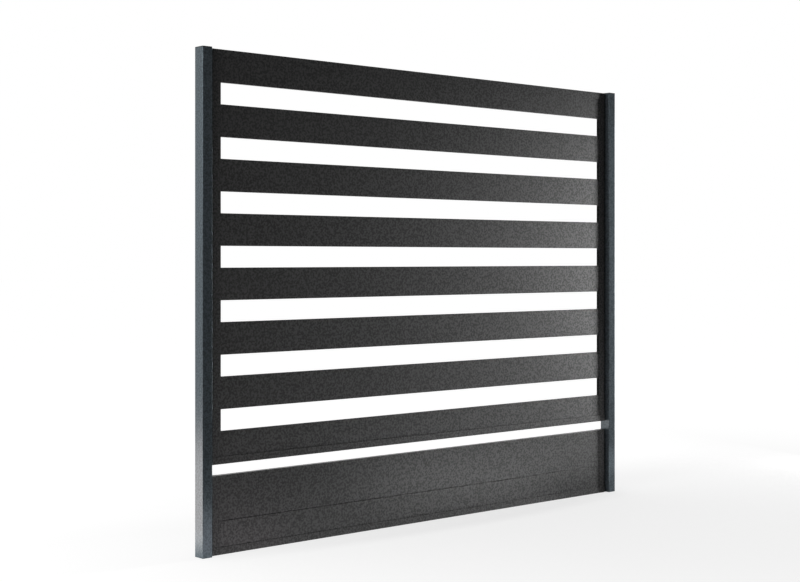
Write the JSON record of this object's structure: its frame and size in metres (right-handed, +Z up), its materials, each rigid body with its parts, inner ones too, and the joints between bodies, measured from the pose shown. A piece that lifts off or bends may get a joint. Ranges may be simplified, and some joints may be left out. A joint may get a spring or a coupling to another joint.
{
  "type": "slatted fence bay with posts and kickboard",
  "caption": "Fence bay of wide horizontal slats in a channel frame between two tube posts, with a separate solid kickboard at the ground.",
  "frame": {"origin": "middle of the left post's foot, at ground level", "axes": "+X along the bay to the right post, -Y out of the front, +Z up"},
  "size_m": [2.292, 0.052, 1.8574],
  "materials": {
    "panel_coat": "fine textured matt anthracite black powder coat",
    "post_coat": "satin graphite grey powder coat",
    "cap_plastic": "matt black moulded plastic"
  },
  "bodies": {
    "root": {"left_post": "post_coat", "right_post": "post_coat", "left_post_cap": "cap_plastic", "right_post_cap": "cap_plastic", "left_post_foot": "post_coat", "right_post_foot": "post_coat", "left_stile": "panel_coat", "right_stile": "panel_coat", "top_rail": "panel_coat", "bottom_rail": "panel_coat", "slat_1": "panel_coat", "slat_2": "panel_coat", "slat_3": "panel_coat", "slat_4": "panel_coat", "slat_5": "panel_coat", "slat_6": "panel_coat", "slat_7": "panel_coat", "slat_8": "panel_coat", "kickboard_upper_board": "panel_coat", "kickboard_lower_board": "panel_coat", "kickboard_left_channel": "panel_coat", "kickboard_right_channel": "panel_coat", "kickboard_rail": "panel_coat", "left_panel_angle": "post_coat", "right_panel_angle": "post_coat", "left_kick_angle": "post_coat", "right_kick_angle": "post_coat"}
  },
  "joints": []
}
